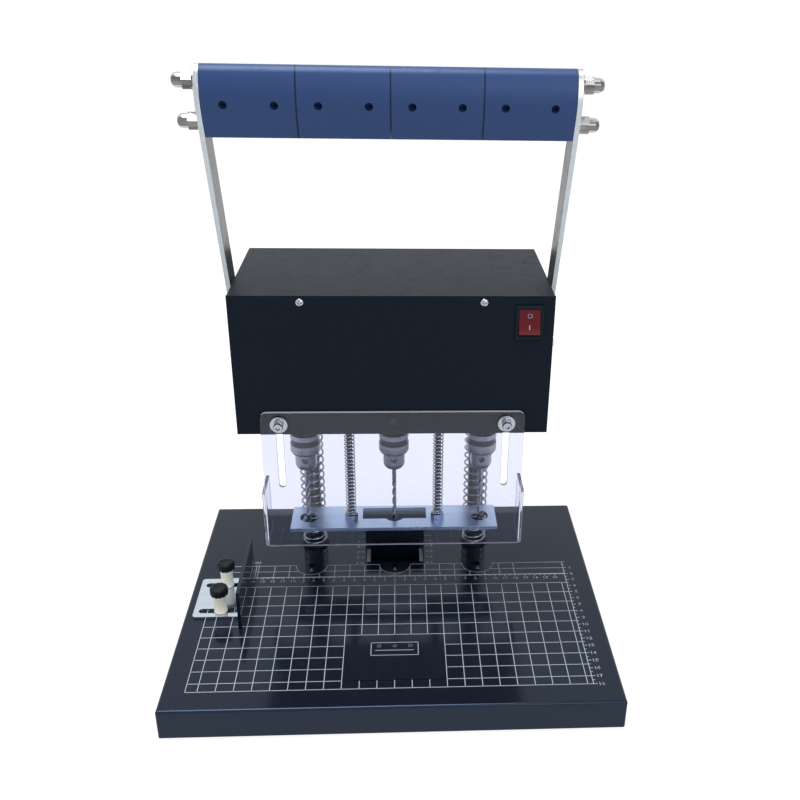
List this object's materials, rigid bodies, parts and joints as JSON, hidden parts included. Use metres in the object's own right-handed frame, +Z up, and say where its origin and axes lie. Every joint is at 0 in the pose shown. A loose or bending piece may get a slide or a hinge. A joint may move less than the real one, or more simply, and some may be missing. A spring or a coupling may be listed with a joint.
{
  "type": "paper drill",
  "caption": "Bench paper drill: a lever lowers a motor head with chucks and drill bits on guide posts over a printed base with side fence, rear stop, press plate and clear guard.",
  "frame": {"origin": "centre of the base's outline on the surface it stands on", "axes": "+Z up, front towards -Y, +X to the right seen from the front"},
  "size_m": [0.39, 0.314, 0.5157],
  "materials": {
    "alloy": "machined alloy",
    "base_coat": "semi-gloss black powder coat with a printed grid",
    "black_plastic": "black plastic",
    "black_steel": "blackened steel",
    "bright_steel": "ground bar",
    "bronze": "sintered bronze",
    "chrome": "nickel plate",
    "chuck_steel": "turned steel",
    "clear": "clear acrylic",
    "cover_coat": "fine textured black powder coat",
    "cream_plastic": "cream and black plastic",
    "dark_sheet": "black painted sheet",
    "drill_steel": "ground tool steel",
    "gloss_black": "gloss black enamel",
    "grey_plastic": "light grey plastic",
    "grip_blue": "blue moulded plastic",
    "red_plastic": "red translucent plastic",
    "rubber": "black rubber",
    "spring_steel": "bright spring wire",
    "zinc": "bright zinc plate"
  },
  "bodies": {
    "base": {"base_tray": "base_coat", "bottom_cover": "dark_sheet", "rubber_feet": "rubber", "base_screws": "bright_steel", "guide_posts": "bright_steel", "post_nuts": "zinc", "spring_seats": "black_steel", "post_yokes": "alloy", "return_springs": "spring_steel", "stop_guides": "grey_plastic"},
    "rear_stop": {"rear_stop": "gloss_black"},
    "fence": {"fence_bracket": "zinc", "fence_plate": "gloss_black"},
    "front_knob": {"front_fence_knob": "cream_plastic"},
    "rear_knob": {"rear_fence_knob": "cream_plastic"},
    "head": {"head_plate": "dark_sheet", "housing_cover": "cover_coat", "front_panel": "cover_coat", "pan_screws": "chrome", "centre_screw": "black_steel", "guide_bushes": "bronze", "shaft_bearings": "alloy", "power_supply": "alloy", "switch_frame": "black_plastic", "cable_gland": "black_plastic", "guard_screws": "black_steel", "guard_washers": "chrome", "left_motor": "alloy", "centre_motor": "alloy", "right_motor": "alloy", "press_springs": "spring_steel"},
    "rocker": {"switch_rocker": "red_plastic"},
    "guard": {"guard": "clear"},
    "press": {"press_plate": "zinc", "press_rods": "bright_steel", "press_nuts": "zinc"},
    "lever": {"left_arm": "zinc", "right_arm": "zinc", "grip_block_1": "grip_blue", "grip_block_2": "grip_blue", "grip_block_3": "grip_blue", "grip_block_4": "grip_blue", "tie_rods": "bright_steel", "acorn_nuts": "chrome", "cross_shaft": "bright_steel", "lift_cranks": "black_steel", "crank_pins": "bright_steel", "arm_bolts": "zinc"},
    "left_spindle": {"left_adapter": "black_steel", "left_chuck_body": "chuck_steel", "left_chuck_sleeve": "chuck_steel", "left_drill_bit": "drill_steel"},
    "centre_spindle": {"centre_adapter": "black_steel", "centre_chuck_body": "chuck_steel", "centre_chuck_sleeve": "chuck_steel", "centre_drill_bit": "drill_steel"},
    "right_spindle": {"right_adapter": "black_steel", "right_chuck_body": "chuck_steel", "right_chuck_sleeve": "chuck_steel", "right_drill_bit": "drill_steel"}
  },
  "joints": [
    {"name": "head_slide", "type": "slide", "parent": "base", "child": "head", "axis": [0, 0, -1], "range_m": [0, 0.0538], "stiffness_N_per_m": 1800, "springref_m": -0.07, "deforming": ["return_springs"]},
    {"name": "lever_turn", "type": "hinge", "parent": "head", "child": "lever", "pos_m": [0, 0.0744, 0.264], "axis": [1, 0, 0], "range_deg": [0, 90]},
    {"name": "press_slide", "type": "slide", "parent": "head", "child": "press", "axis": [0, 0, 1], "range_m": [0, 0.053], "stiffness_N_per_m": 250, "springref_m": -0.03, "deforming": ["press_springs"]},
    {"name": "guard_slide", "type": "slide", "parent": "head", "child": "guard", "axis": [0, 0, 1], "range_m": [0, 0.052]},
    {"name": "switch_tilt", "type": "hinge", "parent": "head", "child": "rocker", "pos_m": [0.1157, -0.0002, 0.3106], "axis": [1, 0, 0], "range_deg": [0, 14]},
    {"name": "fence_slide", "type": "slide", "parent": "base", "child": "fence", "axis": [1, 0, 0], "range_m": [-0.006, 0.014]},
    {"name": "front_knob_turn", "type": "hinge", "parent": "base", "child": "front_knob", "pos_m": [-0.1618, -0.0292, 0.031], "axis": [0, 0, 1], "continuous": true},
    {"name": "rear_knob_turn", "type": "hinge", "parent": "base", "child": "rear_knob", "pos_m": [-0.1618, 0.0108, 0.031], "axis": [0, 0, 1], "continuous": true},
    {"name": "stop_slide", "type": "slide", "parent": "base", "child": "rear_stop", "axis": [0, -1, 0], "range_m": [-0.02, 0.021]},
    {"name": "left_spin", "type": "hinge", "parent": "head", "child": "left_spindle", "pos_m": [-0.0834, 0.0454, 0.19], "axis": [0, 0, -1], "continuous": true},
    {"name": "centre_spin", "type": "hinge", "parent": "head", "child": "centre_spindle", "pos_m": [0, 0.0454, 0.19], "axis": [0, 0, -1], "continuous": true},
    {"name": "right_spin", "type": "hinge", "parent": "head", "child": "right_spindle", "pos_m": [0.0834, 0.0454, 0.19], "axis": [0, 0, -1], "continuous": true}
  ],
  "couplings": [
    {"joint": "lever_turn", "follows": "head_slide", "rad_per_m": 29.19}
  ]
}
